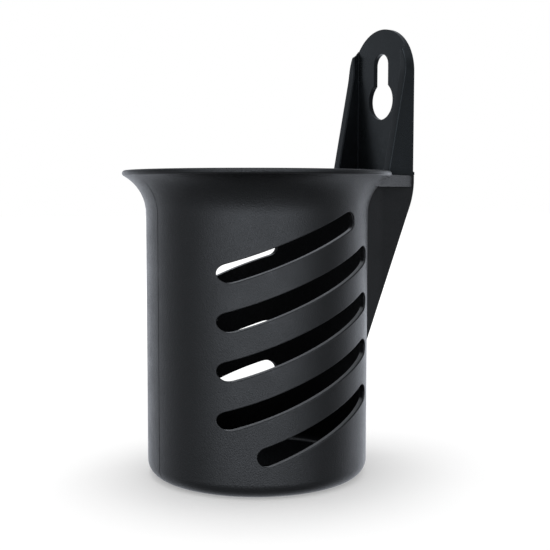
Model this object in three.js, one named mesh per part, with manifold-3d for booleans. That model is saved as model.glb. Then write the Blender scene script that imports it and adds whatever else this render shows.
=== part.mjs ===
// Cup holder that hangs on a wall stud or a clamp stud: a slotted moulded cup with a rear
// shelf and side webs, and a separate keyhole hanger held on the shelf by two screws.
// Units are millimetres. +Z is up, the hanger is at +Y, and the origin is the centre of the
// cup's base. The whole part is symmetric about the plane X = 0.
import * as THREE from "three";
import { mergeVertices } from "three/addons/utils/BufferGeometryUtils.js";
import Module from "manifold-3d";

// Cup
const BODY_R = 42;
const WALL = 2.2;
const FLOOR = 2.4;
const BASE_CORNER_R = 5.6;

// Flared rim: an arc that leaves the wall upright and ends in a full round lip
const FLARE_R = 16;
const FLARE_Z = 99.1;
const FLARE_ANGLE = THREE.MathUtils.degToRad(61);

// Side slots: straight inclined slots with round ends, cut along X through both sides
const SLOT_COUNT = 5;
const SLOT_WIDTH = 7.3;
const SLOT_SLOPE = 0.406;
const SLOT_PITCH = 17.14;
const SLOT_TOP_Z = 91.3;
const SLOT_FRONT_Y = -33;
const SLOT_REAR_Y = 27.9;
const TOP_SLOT_REAR_Y = 17.2;
const BOTTOM_SLOT_FRONT_Y = -21.9;

// Shelf behind the rim, and the two webs that carry it. Both start inside the cup's wall.
const ROOT_Y = 23;
const HALF_WIDTH = 18.45;
const SHELF_BOTTOM_Z = 109.3;
const SHELF_TOP_Z = 113.9;
const SHELF_REAR_Y = 62.1;
const SHELF_TAPER_END_Y = 60.6;
const SHELF_TAPER = Math.tan(THREE.MathUtils.degToRad(28.5));
const WEB_THICKNESS = 3;
const WEB_FOOT_Z = 46;
const WEB_SLOPE = 0.405;
const WEB_KNEE_Z = 106.65;
const WEB_KNEE_R = 28;

// Hanger
const PLATE_FRONT_Y = 59.3;
const PLATE_THICKNESS = 2;
const ARCH_SPRING_Z = 154.8;
const KEYHOLE_Z = 144.4;
const KEYHOLE_R = 7.75;
const STUD_SLOT_Z = 158.6;
const STUD_SLOT_R = 4.8;
const FLANGE_TOP_Z = 163.4;
const FLANGE_FRONT_Y = 48.9;
const FLANGE_LEAN = 0.198;
const FOOT_FRONT_Y = 51.6;
const FOOT_THICKNESS = 2.6;
const TOE_HEIGHT = 1.4;
const LUG_HALF_WIDTH = 4.5;
const LUG_FRONT_Y = 53.4;
const LUG_REAR_Y = 57.4;
const LUG_DEPTH = 4.2;
const LUG_GAP = 0.3;

// Screws: M3 countersunk, 12 long, and the shelf bosses that they bite into
const SCREW_X = 10;
const SCREW_Y = 55.4;
const SCREW_LENGTH = 12;
const SCREW_R = 1.45;
const SCREW_TIP_LENGTH = 1.4;
const SCREW_CORE_R = 0.7;
const HEAD_R = 2.8;
const HEAD_EDGE = 0.3;
const HEAD_SET_DOWN = 0.15;
const CROSS_WIDTH = 0.7;
const CROSS_SPAN = 2.8;
const CROSS_DEPTH = 1.1;
const HEAD_GAP = 0.15;
const CLEARANCE_R = 1.75;
const BOSS_R = 3.5;
const BOSS_BOTTOM_Z = 102.2;
const BOSS_BORE_R = 1.75;

const ROUND_SEGMENTS = 64;
const SMALL_SEGMENTS = 24;
const ARC_STEPS = 3;
const OVERRUN = 5;
const MERGE_DISTANCE = 1e-4;

const wasm = await Module();
wasm.setup();

// A closed geometry as a manifold-3d solid.
function solidOf(geometry) {
  const bare = geometry.index ? geometry.toNonIndexed() : geometry.clone();
  bare.deleteAttribute("normal");
  bare.deleteAttribute("uv");
  const merged = mergeVertices(bare, MERGE_DISTANCE);
  return new wasm.Manifold(
    new wasm.Mesh({
      numProp: 3,
      vertProperties: merged.attributes.position.array,
      triVerts: new Uint32Array(merged.index.array),
    }),
  );
}

function namedMesh(name, solid, material) {
  const { vertProperties, triVerts } = solid.getMesh();
  const geometry = new THREE.BufferGeometry();
  geometry.setAttribute("position", new THREE.BufferAttribute(vertProperties, 3));
  geometry.setIndex(new THREE.BufferAttribute(triVerts, 1));
  geometry.computeVertexNormals();
  const mesh = new THREE.Mesh(geometry, material);
  mesh.name = name;
  return mesh;
}

// A profile of (radius, height) turned about the Z axis.
function turned(path, segments) {
  const points = path.getPoints(ARC_STEPS).filter(
    (point, i, all) => i === 0 || point.distanceTo(all[i - 1]) > MERGE_DISTANCE,
  );
  const lathe = new THREE.LatheGeometry(points, segments);
  return solidOf(lathe.rotateX(Math.PI / 2));
}

// An outline drawn in (Y, Z), given thickness along X from x0 to x1.
function alongX(outline, x0, x1) {
  const geometry = new THREE.ExtrudeGeometry(outline, {
    depth: x1 - x0,
    bevelEnabled: false,
    curveSegments: ARC_STEPS * 2,
  });
  const turn = new THREE.Matrix4().makeBasis(
    new THREE.Vector3(0, 1, 0),
    new THREE.Vector3(0, 0, 1),
    new THREE.Vector3(1, 0, 0),
  );
  return solidOf(geometry.applyMatrix4(turn).translate(x0, 0, 0));
}

// An outline drawn in (X, Z), given thickness along Y from y0 to y1.
function alongY(outline, y0, y1) {
  const geometry = new THREE.ExtrudeGeometry(outline, {
    depth: y1 - y0,
    bevelEnabled: false,
    curveSegments: SMALL_SEGMENTS,
  });
  return solidOf(geometry.rotateX(Math.PI / 2).translate(0, y1, 0));
}

// An outline drawn in (X, Y), given thickness along Z from z0 to z1.
function alongZ(outline, z0, z1) {
  const geometry = new THREE.ExtrudeGeometry(outline, {
    depth: z1 - z0,
    bevelEnabled: false,
    curveSegments: ARC_STEPS,
  });
  return solidOf(geometry.translate(0, 0, z0));
}

function box(x0, x1, y0, y1, z0, z1) {
  const geometry = new THREE.BoxGeometry(x1 - x0, y1 - y0, z1 - z0);
  return solidOf(geometry.translate((x0 + x1) / 2, (y0 + y1) / 2, (z0 + z1) / 2));
}

// A round pin or hole between two heights, with its own radius at each end.
function upright(x, y, z0, z1, r0, r1 = r0) {
  const geometry = new THREE.CylinderGeometry(r1, r0, z1 - z0, SMALL_SEGMENTS);
  return solidOf(geometry.rotateX(Math.PI / 2).translate(x, y, (z0 + z1) / 2));
}

// The flare's arc is centred outside the wall, so both skins share one centre.
const flareCentreR = BODY_R + FLARE_R;
const lipR = WALL / 2;
const lipCentreR = flareCentreR - (FLARE_R + lipR) * Math.cos(FLARE_ANGLE);
const lipCentreZ = FLARE_Z + (FLARE_R + lipR) * Math.sin(FLARE_ANGLE);
const rimTopZ = lipCentreZ + lipR;

// The cup's outer skin as a full solid of revolution.
function outerCup() {
  const path = new THREE.Path();
  path.moveTo(0, 0);
  path.lineTo(BODY_R - BASE_CORNER_R, 0);
  path.absarc(BODY_R - BASE_CORNER_R, BASE_CORNER_R, BASE_CORNER_R, -Math.PI / 2, 0, false);
  path.absarc(flareCentreR, FLARE_Z, FLARE_R, Math.PI, Math.PI - FLARE_ANGLE, true);
  path.absarc(lipCentreR, lipCentreZ, lipR, -FLARE_ANGLE, Math.PI - FLARE_ANGLE, false);
  path.lineTo(0, rimTopZ - lipR);
  return turned(path, ROUND_SEGMENTS);
}

// The space inside the cup, open through the top.
function cupCavity() {
  const innerR = BODY_R - WALL;
  const innerCornerR = BASE_CORNER_R - WALL;
  const innerFlareR = FLARE_R + WALL;
  const path = new THREE.Path();
  path.moveTo(0, FLOOR);
  path.lineTo(innerR - innerCornerR, FLOOR);
  path.absarc(innerR - innerCornerR, FLOOR + innerCornerR, innerCornerR, -Math.PI / 2, 0, false);
  path.absarc(flareCentreR, FLARE_Z, innerFlareR, Math.PI, Math.PI - FLARE_ANGLE, true);
  path.lineTo(lipCentreR - lipR * Math.cos(FLARE_ANGLE), rimTopZ + OVERRUN);
  path.lineTo(0, rimTopZ + OVERRUN);
  return turned(path, ROUND_SEGMENTS);
}

// One slot's outline in (Y, Z): a straight band with round ends, rising towards the hanger.
function slotOutline(index) {
  const r = SLOT_WIDTH / 2;
  const tilt = Math.atan(SLOT_SLOPE);
  const frontY = (index === SLOT_COUNT - 1 ? BOTTOM_SLOT_FRONT_Y : SLOT_FRONT_Y) + r;
  const rearY = (index === 0 ? TOP_SLOT_REAR_Y : SLOT_REAR_Y) - r;
  const heightAt = (y) => SLOT_TOP_Z - index * SLOT_PITCH + SLOT_SLOPE * y;
  const outline = new THREE.Shape();
  outline.absarc(frontY, heightAt(frontY), r, tilt + Math.PI / 2, tilt + 1.5 * Math.PI, false);
  outline.absarc(rearY, heightAt(rearY), r, tilt - Math.PI / 2, tilt + Math.PI / 2, false);
  return outline;
}

// The shelf's outline in (X, Y): its sides run in from the flare to the hanger's width.
function shelfOutline() {
  const rootX = HALF_WIDTH + SHELF_TAPER * (SHELF_TAPER_END_Y - ROOT_Y);
  const outline = new THREE.Shape();
  outline.moveTo(-rootX, ROOT_Y);
  outline.lineTo(rootX, ROOT_Y);
  outline.lineTo(HALF_WIDTH, SHELF_TAPER_END_Y);
  outline.lineTo(HALF_WIDTH, SHELF_REAR_Y);
  outline.lineTo(-HALF_WIDTH, SHELF_REAR_Y);
  outline.lineTo(-HALF_WIDTH, SHELF_TAPER_END_Y);
  return outline;
}

// The rear outline in (Y, Z) that the shelf and the webs share: upright at the shelf, a
// rounded knee, then a straight slant forward to the cup wall.
function rearOutline() {
  const lean = Math.atan(WEB_SLOPE);
  const tangent = WEB_KNEE_R * Math.tan(lean / 2);
  const footY = SHELF_REAR_Y - WEB_SLOPE * (WEB_KNEE_Z - WEB_FOOT_Z);
  const outline = new THREE.Shape();
  outline.moveTo(ROOT_Y, WEB_FOOT_Z);
  outline.lineTo(footY, WEB_FOOT_Z);
  outline.absarc(SHELF_REAR_Y - WEB_KNEE_R, WEB_KNEE_Z + tangent, WEB_KNEE_R, -lean, 0, false);
  outline.lineTo(SHELF_REAR_Y, SHELF_TOP_Z);
  outline.lineTo(ROOT_Y, SHELF_TOP_Z);
  return outline;
}

function cupBody(material) {
  const shelf = alongZ(shelfOutline(), SHELF_BOTTOM_Z, SHELF_TOP_Z);
  const rear = alongX(rearOutline(), -BODY_R, BODY_R);
  let body = outerCup().add(shelf.intersect(rear));
  for (const side of [-1, 1]) {
    const inner = side * (HALF_WIDTH - WEB_THICKNESS);
    const outer = side * HALF_WIDTH;
    const web = alongX(rearOutline(), Math.min(inner, outer), Math.max(inner, outer));
    const boss = upright(side * SCREW_X, SCREW_Y, BOSS_BOTTOM_Z, SHELF_BOTTOM_Z + 1, BOSS_R);
    body = body.add(web).add(boss);
  }
  body = body.subtract(cupCavity());
  for (let i = 0; i < SLOT_COUNT; i++) {
    body = body.subtract(alongX(slotOutline(i), -BODY_R - OVERRUN, BODY_R + OVERRUN));
  }
  for (const side of [-1, 1]) {
    const top = SHELF_TOP_Z + OVERRUN;
    const bottom = BOSS_BOTTOM_Z - OVERRUN;
    body = body.subtract(upright(side * SCREW_X, SCREW_Y, bottom, top, BOSS_BORE_R));
  }
  const lugPocket = box(
    -LUG_HALF_WIDTH - LUG_GAP,
    LUG_HALF_WIDTH + LUG_GAP,
    LUG_FRONT_Y - LUG_GAP,
    LUG_REAR_Y + LUG_GAP,
    SHELF_BOTTOM_Z - OVERRUN,
    SHELF_TOP_Z + OVERRUN,
  );
  return namedMesh("cup_body", body.subtract(lugPocket), material);
}

// A large round hole with a narrower slot above it, drawn in (X, Z).
function keyholeOutline() {
  const half = Math.asin(STUD_SLOT_R / KEYHOLE_R);
  const outline = new THREE.Shape();
  const left = Math.PI / 2 + half;
  const right = Math.PI / 2 - half + 2 * Math.PI;
  outline.absarc(0, KEYHOLE_Z, KEYHOLE_R, left, right, false);
  outline.absarc(0, STUD_SLOT_Z, STUD_SLOT_R, 0, Math.PI, false);
  return outline;
}

// The upright plate's outline in (X, Z), square at the foot and round at the top.
function plateOutline() {
  const outline = new THREE.Shape();
  outline.moveTo(-HALF_WIDTH, SHELF_TOP_Z);
  outline.lineTo(HALF_WIDTH, SHELF_TOP_Z);
  outline.absarc(0, ARCH_SPRING_Z, HALF_WIDTH, 0, Math.PI, false);
  return outline;
}

// A side flange's outline in (Y, Z): its front edge leans back until it meets the plate.
function flangeOutline() {
  const topY = FLANGE_FRONT_Y + FLANGE_LEAN * (FLANGE_TOP_Z - SHELF_TOP_Z);
  const rootY = PLATE_FRONT_Y + PLATE_THICKNESS / 2;
  const outline = new THREE.Shape();
  outline.moveTo(FLANGE_FRONT_Y, SHELF_TOP_Z);
  outline.lineTo(rootY, SHELF_TOP_Z);
  outline.lineTo(rootY, FLANGE_TOP_Z);
  outline.lineTo(topY, FLANGE_TOP_Z);
  return outline;
}

function hangerPlate(material) {
  const rearY = PLATE_FRONT_Y + PLATE_THICKNESS;
  const footTopZ = SHELF_TOP_Z + FOOT_THICKNESS;
  const inside = HALF_WIDTH - WEB_THICKNESS / 2;
  const toeTopZ = SHELF_TOP_Z + TOE_HEIGHT;
  const lugBottomZ = SHELF_TOP_Z - LUG_DEPTH;
  const lug = box(-LUG_HALF_WIDTH, LUG_HALF_WIDTH, LUG_FRONT_Y, LUG_REAR_Y, lugBottomZ, footTopZ);
  let hanger = alongY(plateOutline(), PLATE_FRONT_Y, rearY)
    .add(box(-inside, inside, FOOT_FRONT_Y, rearY - 1, SHELF_TOP_Z, footTopZ))
    .add(box(-HALF_WIDTH, HALF_WIDTH, rearY - 1, SHELF_REAR_Y, SHELF_TOP_Z, toeTopZ))
    .add(lug);
  for (const side of [-1, 1]) {
    const inner = side * (HALF_WIDTH - WEB_THICKNESS);
    const outer = side * HALF_WIDTH;
    hanger = hanger.add(alongX(flangeOutline(), Math.min(inner, outer), Math.max(inner, outer)));
  }
  hanger = hanger.subtract(alongY(keyholeOutline(), PLATE_FRONT_Y - OVERRUN, rearY + OVERRUN));
  for (const side of [-1, 1]) {
    const x = side * SCREW_X;
    const sinkR = HEAD_R + HEAD_GAP;
    const seatZ = footTopZ - HEAD_SET_DOWN - HEAD_EDGE;
    const seatEndZ = seatZ - (sinkR - CLEARANCE_R);
    const hole = upright(x, SCREW_Y, SHELF_TOP_Z - OVERRUN, footTopZ + OVERRUN, CLEARANCE_R);
    const seat = upright(x, SCREW_Y, seatEndZ, seatZ, CLEARANCE_R, sinkR);
    const mouth = upright(x, SCREW_Y, seatZ, footTopZ + OVERRUN, sinkR);
    hanger = hanger.subtract(hole).subtract(seat).subtract(mouth);
  }
  return namedMesh("hanger_plate", hanger, material);
}

// A countersunk screw with a cross recess, drawn with its head's top face at Z = 0.
function screw(name, x, material) {
  const tipZ = HEAD_SET_DOWN - SCREW_LENGTH;
  const coneEndZ = -HEAD_EDGE - (HEAD_R - SCREW_R);
  const path = new THREE.Path();
  path.moveTo(0, tipZ);
  path.lineTo(SCREW_CORE_R, tipZ);
  path.lineTo(SCREW_R, tipZ + SCREW_TIP_LENGTH);
  path.lineTo(SCREW_R, coneEndZ);
  path.lineTo(HEAD_R, -HEAD_EDGE);
  path.lineTo(HEAD_R, 0);
  path.lineTo(0, 0);
  const across = CROSS_SPAN / 2;
  const half = CROSS_WIDTH / 2;
  const solid = turned(path, SMALL_SEGMENTS)
    .subtract(box(-across, across, -half, half, -CROSS_DEPTH, OVERRUN))
    .subtract(box(-half, half, -across, across, -CROSS_DEPTH, OVERRUN));
  const mesh = namedMesh(name, solid, material);
  mesh.position.set(x, SCREW_Y, SHELF_TOP_Z + FOOT_THICKNESS - HEAD_SET_DOWN);
  return mesh;
}

const cupPlastic = new THREE.MeshStandardMaterial({
  color: 0x1a1b1d,
  roughness: 0.48,
  metalness: 0,
});
const hangerPlastic = new THREE.MeshStandardMaterial({
  color: 0x17181a,
  roughness: 0.4,
  metalness: 0,
});
const screwSteel = new THREE.MeshStandardMaterial({
  color: 0x2a2b2d,
  roughness: 0.35,
  metalness: 0.9,
});

const cupHolder = new THREE.Group();
cupHolder.add(cupBody(cupPlastic));
cupHolder.add(hangerPlate(hangerPlastic));
cupHolder.add(screw("hanger_screw_left", -SCREW_X, screwSteel));
cupHolder.add(screw("hanger_screw_right", SCREW_X, screwSteel));

export default cupHolder;
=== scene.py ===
"""Looks for the keyhole cup holder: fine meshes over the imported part, procedural
materials, a pale studio stage and the main camera."""
import math

import bmesh
import bpy
import numpy as np
from mathutils import Matrix, Vector
from mathutils.geometry import delaunay_2d_cdt


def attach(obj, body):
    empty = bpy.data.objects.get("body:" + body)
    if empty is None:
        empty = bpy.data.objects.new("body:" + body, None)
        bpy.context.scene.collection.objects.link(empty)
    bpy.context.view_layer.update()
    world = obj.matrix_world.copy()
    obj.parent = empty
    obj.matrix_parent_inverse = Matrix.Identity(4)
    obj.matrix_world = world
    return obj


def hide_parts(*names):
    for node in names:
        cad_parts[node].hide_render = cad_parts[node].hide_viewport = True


MM = 0.001

# -------- part dimensions, mm
# The cup: a straight wall, then a flare that turns through FLARE_ANGLE to a round lip
BODY_R = 42.0
WALL = 2.2
FLOOR = 2.4
BASE_CORNER_R = 5.6
FLARE_R = 16.0
FLARE_Z = 99.1
FLARE_ANGLE = math.radians(61)
FLARE_CENTRE_R = BODY_R + FLARE_R
INNER_FLARE_R = FLARE_R + WALL
INNER_R = BODY_R - WALL
LIP_R = WALL / 2
LIP_CENTRE_R = FLARE_CENTRE_R - (FLARE_R + LIP_R) * math.cos(FLARE_ANGLE)
LIP_CENTRE_Z = FLARE_Z + (FLARE_R + LIP_R) * math.sin(FLARE_ANGLE)

# The slots, from the top one down. Each loses its trim from its upper edge
SLOT_COUNT = 5
SLOT_WIDTH = 7.1
SLOT_TRIMS = (0.25, 0.0, 0.0, 0.2, 0.0)
SLOT_SLOPE = 0.406
SLOT_PITCH = 17.14
SLOT_TOP_Z = 91.25
SLOT_FRONT_Y = -32.6
SLOT_REAR_Y = 27.9
TOP_SLOT_REAR_Y = 17.2
BOTTOM_SLOT_FRONT_Y = -21.9

# The shelf behind the rim and the two webs under it
HALF_WIDTH = 18.45
SHELF_BOTTOM_Z = 109.3
SHELF_TOP_Z = 113.9
SHELF_REAR_Y = 62.1
SHELF_TAPER_END_Y = 60.6
SHELF_TAPER = math.tan(math.radians(28.5))
WEB_THICKNESS = 3.0
WEB_FOOT_Z = 46.0
WEB_SLOPE = 0.405
WEB_KNEE_Z = 106.65
WEB_KNEE_R = 28.0
ROOT_Y = 23.0

# The hanger: an arched plate with a keyhole, a flange up each side, a foot and a lug
HANGER_HALF_WIDTH = 18.6
PLATE_FRONT_Y = 59.3
PLATE_REAR_Y = 61.45
ARCH_SPRING_Z = 154.5
KEYHOLE_Z = 144.4
KEYHOLE_R = 7.6
STUD_SLOT_Z = 158.7
STUD_SLOT_R = 4.58
FLANGE_FRONT_Y = 48.7
FLANGE_LEAN = 0.198
FLANGE_LEAN_END_Z = 152.2
FLANGE_TOP = ((56.76, 155.0), (56.9, 157.0), (56.9, 163.4), (58.3, 164.3))
FLANGE_END_Z = 166.6
FLANGE_ROOT = 0.1
FOOT_FRONT_Y = 51.6
FOOT_TOP_Z = 116.5
TOE_TOP_Z = 115.3
LUG_HALF_WIDTH = 4.5
LUG_FRONT_Y = 53.4
LUG_REAR_Y = 57.4
LUG_BOTTOM_Z = 109.7
LUG_GAP = 0.3

# The screws, and the bores, countersinks and bosses that take them
SCREW_X = 10.0
SCREW_Y = 55.4
SCREW_TOP_Z = 116.35
SCREW_TIP_Z = 104.5
SCREW_R = 1.45
SCREW_CORE_R = 0.7
SCREW_TIP_LENGTH = 1.4
SCREW_PITCH = 0.9
THREAD_DEPTH = 0.16
THREAD_TUCK = 0.3
HEAD_R = 2.8
HEAD_EDGE = 0.3
CROSS_WIDTH = 0.7
CROSS_SPAN = 2.8
CROSS_DEPTH = 1.1
BORE_R = 1.75
SINK_R = 2.95
BOSS_R = 3.5
BOSS_BOTTOM_Z = 102.2

# -------- fine detail, mm
SLOT_EDGE_OUT = 0.3
SLOT_EDGE_IN = 0.12
EDGE_STEPS_OUT = 6
EDGE_STEPS_IN = 4
WALL_STEPS = 3
SLOT_LINE_STEP = 0.9
SLOT_END_STEPS = 18
PARTING_DEPTH = 0.16
PARTING_HALF_WIDTH = 0.26
PARTING_TOP_Z = 113.0
PARTING_FADE = 2.0
COLUMNS = 96
PATCH_TOP_Z = 103.0
PATCH_ROW_STEP = 2.2
PATCH_CLEARANCE = 0.75
PATCH_EPSILON = 1e-5
FLAT_RINGS = 5
CORNER_STEPS = 10
BEND_STEPS = 8
FLARE_STEPS = 20
LIP_STEPS = 16
# The fillets between the webs and the cup
FILLET_R = 2.0
INNER_FILLET_R = 1.4
FILLET_END = math.radians(47)
FILLET_RAISE = 1.0
FILLET_FOOT = 6.4
FILLET_GROWTH = 5.12
FILLET_LEAST = 0.04
FILLET_DEPTH = 0.9
FILLET_MIDDLE_Z = 60.0
FILLET_STEPS = 7
# Their rows over the foot, up the wall and round the flare
FILLET_ROWS = (12, 9, 14)
EDGE_ROUND = 0.28
HANGER_ROUND = 0.2
FLANGE_ROUND = 0.5
HEAD_ROUND = 0.06
SHARP_EDGE = math.radians(28)
ARCH_STEPS = 96
FLANGE_ARCH_STEPS = 20
WEB_KNEE_STEPS = 14
KEYHOLE_STEPS = 72
CORE_COLUMNS = 160
PIN_COLUMNS = 48
HEAD_COLUMNS = 64
THREAD_ROWS = 150
THREAD_COLUMNS = 36
# How far cutters stand past what they cut, and how far joined solids sink into each other
OVERRUN = 5.0
OVERLAP = 1.0
# In metres: points this close are one, in the cup's shell and after booleans
WELD = 2e-6
CLEAN_WELD = 5e-6
COPLANAR = math.radians(0.3)


# -------- mesh helpers
def unit(v):
    return v / np.linalg.norm(v, axis=-1, keepdims=True)


def dot(a, b):
    return (a * b).sum(-1, keepdims=True)


class Shell:
    """Points with exact normals, and faces, in millimetres."""

    def __init__(self):
        self.points = []
        self.normals = []
        self.faces = []
        self.count = 0

    def add(self, points, normals):
        """Returns the index of the first point."""
        start = self.count
        self.points.append(points.reshape(-1, 3))
        self.normals.append(np.broadcast_to(normals, points.shape).reshape(-1, 3))
        self.count += len(self.points[-1])
        return start

    def grid(self, points, normals):
        """Quads over points[row][column]."""
        rows, columns = points.shape[:2]
        start = self.add(points, normals)
        for i in range(rows - 1):
            for j in range(columns - 1):
                a = start + i * columns + j
                b = a + columns
                self.faces.append((a, a + 1, b + 1, b))
        return start

    def mesh(self, name):
        """A welded mesh in metres of these faces and their mirror image in X."""
        points = np.concatenate(self.points)
        normals = unit(np.concatenate(self.normals))
        faces = [outward(face, points, normals) for face in self.faces]
        halves = ((1.0, faces), (-1.0, [face[::-1] for face in faces]))
        bm = bmesh.new()
        layer = bm.verts.layers.float_vector.new("exact")
        for sign, half in halves:
            made = []
            for p, n in zip(points, normals):
                vert = bm.verts.new((sign * p[0] * MM, p[1] * MM, p[2] * MM))
                vert[layer] = (sign * n[0], n[1], n[2])
                made.append(vert)
            for face in half:
                bm.faces.new([made[i] for i in face])
        bmesh.ops.remove_doubles(bm, verts=bm.verts, dist=WELD)
        bmesh.ops.dissolve_degenerate(bm, edges=bm.edges, dist=WELD / 10)
        loose = [v for v in bm.verts if not v.link_faces]
        bmesh.ops.delete(bm, geom=loose, context="VERTS")
        for face in bm.faces:
            face.smooth = True
        mesh = bpy.data.meshes.new(name)
        exact = [tuple(v[layer]) for v in bm.verts]
        bm.to_mesh(mesh)
        bm.free()
        mesh.normals_split_custom_set_from_vertices(exact)
        mesh.attributes.remove(mesh.attributes["exact"])
        return mesh


def outward(face, points, normals):
    p = points[list(face)]
    turn = np.cross(p[2] - p[0], p[-1] - p[1])
    if turn @ normals[list(face)].sum(0) < 0:
        return face[::-1]
    return face


def show(mesh):
    obj = bpy.data.objects.new(mesh.name, mesh)
    bpy.context.scene.collection.objects.link(obj)
    return obj


def show_solid(bm, name):
    """An object from a closed bmesh, with its faces turned outwards."""
    bmesh.ops.recalc_face_normals(bm, faces=bm.faces)
    mesh = bpy.data.meshes.new(name)
    bm.to_mesh(mesh)
    bm.free()
    return show(mesh)


# -------- cup skins
def skin_normal(phi, z, arc_r):
    """The direction away from the cup's axis, tipped down where the flare leans out."""
    tip = np.clip(z - FLARE_Z, 0, None) / arc_r
    level = np.sqrt(1 - tip**2)
    return np.stack([level * np.cos(phi), level * np.sin(phi), -tip], -1)


def parting_groove(phi, z):
    """How deep the fine groove on the plane X = 0 cuts the outer skin."""
    offset = (math.pi / 2 - np.abs(phi)) * BODY_R
    fade = np.clip((PARTING_TOP_Z - z) / PARTING_FADE, 0, 1)
    return PARTING_DEPTH * fade * np.clip(1 - offset / PARTING_HALF_WIDTH, 0, 1)


def skin_point(phi, r, z):
    return np.stack([r * np.cos(phi), r * np.sin(phi), z + 0 * phi], -1)


class Skin:
    """One side of the cup's wall, as the slots cut it."""

    def __init__(self, arc_r, sign, bottom_z, edge_r, steps):
        self.arc_r = arc_r
        self.sign = sign
        self.bottom_z = bottom_z
        self.edge_r = edge_r
        self.steps = steps
        self.flat_r = float(self.radius(0.0))

    def radius(self, z):
        rise = np.clip(z - FLARE_Z, 0, None)
        return FLARE_CENTRE_R - np.sqrt(self.arc_r**2 - rise**2)

    def place(self, uv):
        phi = uv[..., 0] / self.flat_r
        z = uv[..., 1]
        groove = parting_groove(phi, z) if self.sign > 0 else 0
        point = skin_point(phi, self.radius(z) - groove, z)
        return point, self.sign * skin_normal(phi, z, self.arc_r)


OUTER = Skin(FLARE_R, 1, BASE_CORNER_R, SLOT_EDGE_OUT, EDGE_STEPS_OUT)
INNER = Skin(INNER_FLARE_R, -1, FLOOR + BASE_CORNER_R - WALL, SLOT_EDGE_IN, EDGE_STEPS_IN)


def column_angles():
    """Half a turn of columns, with extra ones at the groove on the plane X = 0."""
    edge = PARTING_HALF_WIDTH / BODY_R
    plain = np.linspace(-math.pi / 2, math.pi / 2, COLUMNS + 1)[1:-1]
    ends = math.pi / 2 - np.array([0, edge / 2, edge])
    return np.concatenate([-ends, plain, ends[::-1]])


def slot_outline(index):
    """Points (y, z) round one slot and the directions away from it."""
    trim = SLOT_TRIMS[index]
    middle_z = SLOT_TOP_Z - trim / 2 - index * SLOT_PITCH
    r = (SLOT_WIDTH - trim) / 2
    tilt = math.atan(SLOT_SLOPE)
    front = (BOTTOM_SLOT_FRONT_Y if index == SLOT_COUNT - 1 else SLOT_FRONT_Y) + r
    rear = (TOP_SLOT_REAR_Y if index == 0 else SLOT_REAR_Y) - r
    sides = []
    for end, start_angle in ((front, math.pi / 2), (rear, -math.pi / 2)):
        angle = tilt + start_angle + np.linspace(0, math.pi, SLOT_END_STEPS + 1)
        centre = (end, middle_z + SLOT_SLOPE * end)
        sides.append((centre, angle))
    length = (rear - front) / math.cos(tilt)
    lengthwise = np.linspace(0, 1, max(2, round(length / SLOT_LINE_STEP)) + 1)[1:-1, None]
    points, away = [], []
    for i, (centre, angle) in enumerate(sides):
        direction = np.stack([np.cos(angle), np.sin(angle)], -1)
        arc = np.array(centre) + r * direction
        points.append(arc)
        away.append(direction)
        following = sides[1 - i]
        turn = following[1][0]
        goal = np.array(following[0]) + r * np.array([np.cos(turn), np.sin(turn)])
        points.append(arc[-1] + (goal - arc[-1]) * lengthwise)
        away.append(np.repeat(direction[-1:], len(lengthwise), 0))
    return np.concatenate(points), np.concatenate(away)


def along(loop):
    return unit(np.roll(loop, -1, 0) - np.roll(loop, 1, 0))


def rounded_edge(skin, outline, away):
    """Rounds the edge between a skin and a slot's wall. Returns the loop on the skin's
    own flat map, the rows of points and normals from the skin to the wall."""
    y, z = outline.T
    r = skin.radius(z)
    phi = np.arcsin(y / r)
    edge = np.stack([r * np.cos(phi), y, z], -1)
    tangent = along(edge)
    normal = skin.sign * skin_normal(phi, z, skin.arc_r)
    normal = unit(normal - dot(normal, tangent) * tangent)
    wall_normal = np.stack([0 * y, -away[:, 0], -away[:, 1]], -1)
    on_skin = np.cross(normal, tangent)
    on_skin *= np.sign(dot(on_skin, -wall_normal))
    inward = np.array([-skin.sign, 0.0, 0.0]) + skin.sign * tangent[:, :1] * tangent
    across = np.linalg.norm(inward, axis=-1)
    inward = unit(inward)
    half = np.arccos(np.clip((on_skin * inward).sum(-1), -1, 1)) / 2
    setback = skin.edge_r / np.tan(half)
    flat = np.stack([phi * skin.flat_r, z], -1)
    flat_tangent = along(flat)
    flat_away = np.stack([flat_tangent[:, 1], -flat_tangent[:, 0]], -1)
    flat_away *= np.sign(dot(flat_away, away))
    loop = flat + setback[:, None] * flat_away
    skin_end, skin_end_normal = skin.place(loop)
    wall_end = edge - np.stack([skin.sign * setback / across, 0 * y, 0 * y], -1)
    centre = edge + unit(on_skin + inward) * (skin.edge_r / np.sin(half))[:, None]
    turn = np.arccos(np.clip(dot(normal, wall_normal), -1, 1))
    skin_slip = skin_end - (centre + skin.edge_r * normal)
    wall_slip = wall_end - (centre + skin.edge_r * wall_normal)
    rows, normals = [], []
    for t in np.linspace(0, 1, skin.steps + 1):
        mixed = np.sin((1 - t) * turn) * normal + np.sin(t * turn) * wall_normal
        mixed = unit(mixed / np.sin(turn))
        rows.append(centre + skin.edge_r * mixed + (1 - t) * skin_slip + t * wall_slip)
        normals.append(mixed)
    normals[0] = skin_end_normal
    return loop, np.array(rows), np.array(normals)


def inside(points, loop):
    """Which points lie inside a closed loop."""
    x, y = points.T[:, :, None]
    x0, y0 = loop.T
    x1, y1 = np.roll(loop, -1, 0).T
    crosses = (y0 > y) != (y1 > y)
    with np.errstate(divide="ignore", invalid="ignore"):
        at = x0 + (y - y0) * (x1 - x0) / (y1 - y0)
    return (crosses & (x < at)).sum(-1) % 2 == 1


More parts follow.
